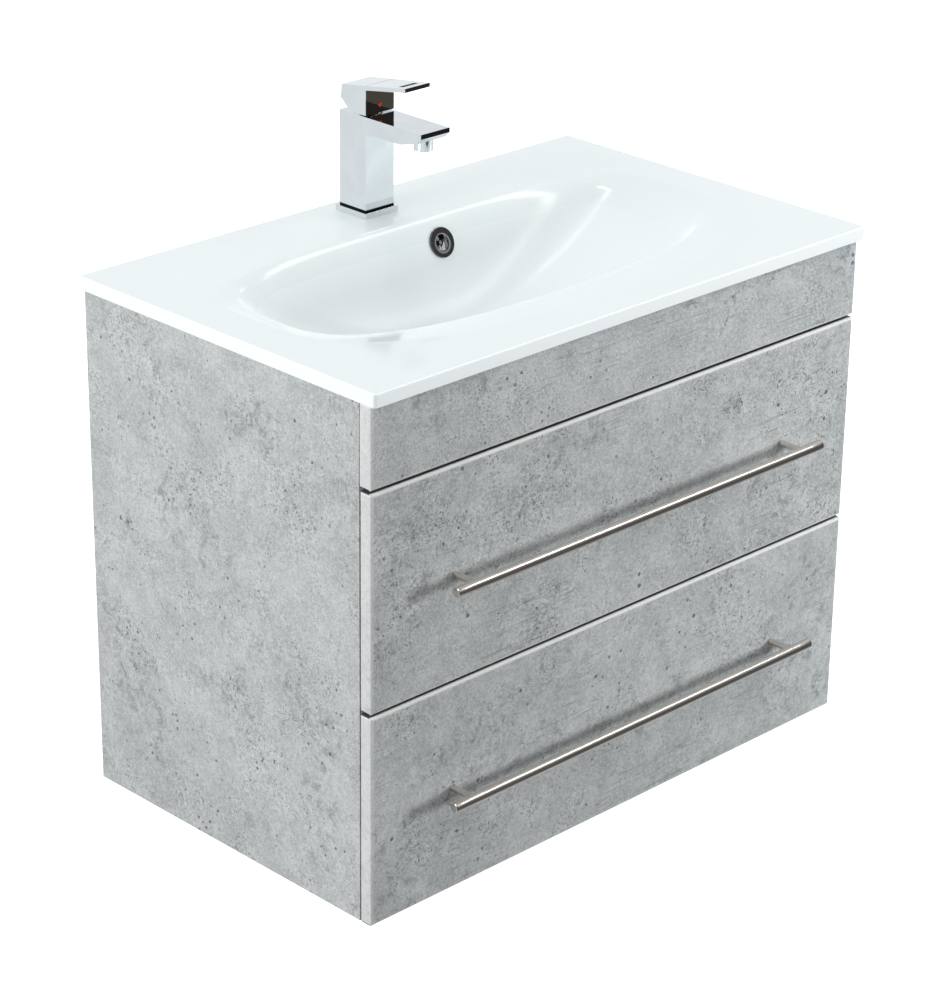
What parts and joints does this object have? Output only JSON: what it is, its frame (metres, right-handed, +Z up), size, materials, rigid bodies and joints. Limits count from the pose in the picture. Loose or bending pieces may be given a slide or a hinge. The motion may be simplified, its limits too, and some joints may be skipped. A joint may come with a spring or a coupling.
{
  "type": "wall-hung bathroom vanity",
  "caption": "Wall-hung vanity in a concrete-look finish with long bar handles on its drawers, a slim white basin with overflow, and a square single-lever tap.",
  "frame": {"origin": "centre of the four screw holes of the two wall plates, on the wall plane", "axes": "+X to the right seen from the front, +Y into the wall, +Z up"},
  "size_m": [0.75, 0.496, 0.7662],
  "materials": {
    "concrete_decor": "concrete-look foil on board, satin",
    "carcass_board": "concrete-look board, satin",
    "drawer_board": "white melamine",
    "satin_steel": "satin",
    "glazed_white": "gloss glaze",
    "chrome_plate": "polished",
    "seal_rubber": "matt",
    "moulded_plastic": "matt",
    "index_red": "gloss",
    "brass_fitting": "machined",
    "zinc_steel": "zinc plated"
  },
  "bodies": {
    "cabinet": {"side_panel_left": "concrete_decor", "side_panel_right": "concrete_decor", "bottom_panel": "carcass_board", "hanging_rail": "carcass_board", "lower_back_rail": "carcass_board", "front_stretcher": "carcass_board", "fascia_panel": "concrete_decor", "fascia_screws": "zinc_steel", "cam_discs": "zinc_steel", "cam_bolts": "zinc_steel", "front_bumpers": "moulded_plastic", "hanger_housings": "zinc_steel", "hanger_hooks": "zinc_steel", "hanger_screws": "zinc_steel", "wall_plates": "zinc_steel", "basin": "glazed_white", "overflow_ring": "chrome_plate", "waste_body": "chrome_plate", "waste_click_unit": "moulded_plastic", "waste_seals": "seal_rubber", "waste_lock_nut": "zinc_steel", "tap_base_plate": "chrome_plate", "tap_body": "chrome_plate", "tap_cartridge": "moulded_plastic", "tap_cartridge_collar": "brass_fitting", "tap_aerator": "chrome_plate", "tap_base_seal": "seal_rubber", "tap_fixing_stud": "zinc_steel", "tap_clamp_washer": "zinc_steel", "tap_fixing_nut": "brass_fitting", "runner_cabinet_rails": "zinc_steel"},
    "upper_drawer": {"upper_drawer_front": "concrete_decor", "upper_drawer_side_left": "drawer_board", "upper_drawer_side_right": "drawer_board", "upper_drawer_back": "drawer_board", "upper_drawer_recess": "drawer_board", "upper_drawer_bottom": "drawer_board", "upper_front_brackets": "zinc_steel", "upper_handle_bar": "satin_steel", "upper_handle_posts": "satin_steel", "upper_handle_screws": "zinc_steel", "upper_runner_drawer_rails": "zinc_steel"},
    "lower_drawer": {"lower_drawer_front": "concrete_decor", "lower_drawer_side_left": "drawer_board", "lower_drawer_side_right": "drawer_board", "lower_drawer_back": "drawer_board", "lower_drawer_bottom": "drawer_board", "lower_front_brackets": "zinc_steel", "lower_handle_bar": "satin_steel", "lower_handle_posts": "satin_steel", "lower_handle_screws": "zinc_steel", "lower_runner_drawer_rails": "zinc_steel"},
    "upper_runner": {"upper_runner_middles": "zinc_steel"},
    "lower_runner": {"lower_runner_middles": "zinc_steel"},
    "waste_plug": {"waste_plug": "chrome_plate"},
    "tap_swivel": {"tap_turret": "moulded_plastic", "tap_pivot_pin": "zinc_steel"},
    "tap_lever": {"tap_stem": "zinc_steel", "tap_lever": "chrome_plate", "tap_index_button": "index_red"}
  },
  "joints": [
    {"name": "upper_drawer_slide", "type": "slide", "parent": "cabinet", "child": "upper_drawer", "axis": [0, -1, 0], "range_m": [0, 0.34]},
    {"name": "upper_runner_slide", "type": "slide", "parent": "cabinet", "child": "upper_runner", "axis": [0, -1, 0], "range_m": [0, 0.17]},
    {"name": "lower_drawer_slide", "type": "slide", "parent": "cabinet", "child": "lower_drawer", "axis": [0, -1, 0], "range_m": [0, 0.34]},
    {"name": "lower_runner_slide", "type": "slide", "parent": "cabinet", "child": "lower_runner", "axis": [0, -1, 0], "range_m": [0, 0.17]},
    {"name": "tap_temperature", "type": "hinge", "parent": "cabinet", "child": "tap_swivel", "pos_m": [0, -0.047, 0.19], "axis": [0, 0, 1], "range_deg": [-45, 45]},
    {"name": "tap_flow", "type": "hinge", "parent": "tap_swivel", "child": "tap_lever", "pos_m": [0, -0.043, 0.1915], "axis": [-1, 0, 0], "range_deg": [0, 25]},
    {"name": "waste_plug_press", "type": "slide", "parent": "cabinet", "child": "waste_plug", "axis": [0, 0, -1], "range_m": [0, 0.0072], "stiffness_N_per_m": 500, "springref_m": -0.006}
  ],
  "couplings": [
    {"joint": "upper_runner_slide", "follows": "upper_drawer_slide", "ratio": 0.5},
    {"joint": "lower_runner_slide", "follows": "lower_drawer_slide", "ratio": 0.5}
  ]
}
